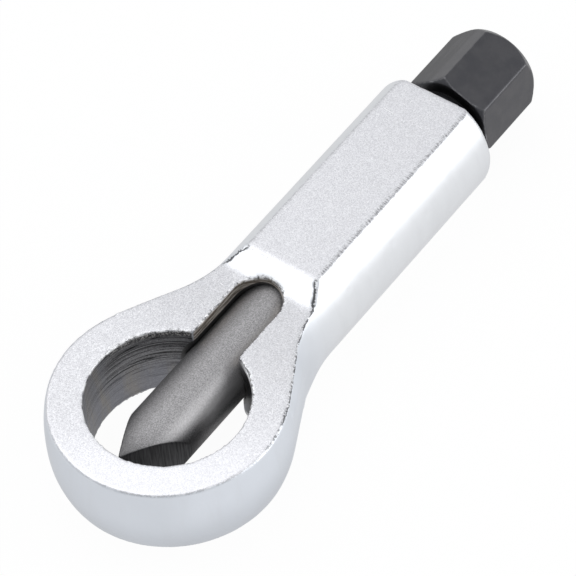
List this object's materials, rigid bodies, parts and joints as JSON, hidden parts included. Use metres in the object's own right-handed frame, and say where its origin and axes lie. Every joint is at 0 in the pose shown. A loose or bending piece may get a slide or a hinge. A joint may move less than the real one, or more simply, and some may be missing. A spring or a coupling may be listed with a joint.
{
  "type": "nut splitter",
  "caption": "Hand nut splitter: a forged ring on a barrel with two flats, and a wedge chisel that a hexagon-headed screw drives across the ring to split a seized nut.",
  "frame": {"origin": "centre of the ring bore, half-way through the ring's thickness", "axes": "+X along the barrel from the ring towards the hexagon head, +Z along the axis of the ring, up"},
  "size_m": [0.1402, 0.0496, 0.0228],
  "materials": {
    "plated_forging": "bright plated drop forging, grained faces and satin sides",
    "tool_steel": "hardened and ground, satin grey",
    "black_steel": "black oxide, satin",
    "bearing_steel": "polished",
    "spring_steel": "drawn wire"
  },
  "bodies": {
    "frame": {"frame_body": "plated_forging", "guide_screw": "black_steel"},
    "chisel": {"cutting_chisel": "tool_steel", "thrust_ball": "bearing_steel", "retaining_ring": "spring_steel"},
    "screw": {"pressure_screw": "black_steel"}
  },
  "joints": [
    {"name": "chisel_slide", "type": "slide", "parent": "frame", "child": "chisel", "axis": [1, 0, 0], "range_m": [-0.0005, 0.031]},
    {"name": "screw_turn", "type": "hinge", "parent": "chisel", "child": "screw", "pos_m": [0.1, 0, 0], "axis": [1, 0, 0], "range_deg": [-120, 7440]}
  ],
  "couplings": [
    {"joint": "screw_turn", "follows": "chisel_slide", "rad_per_m": 4188.8}
  ]
}
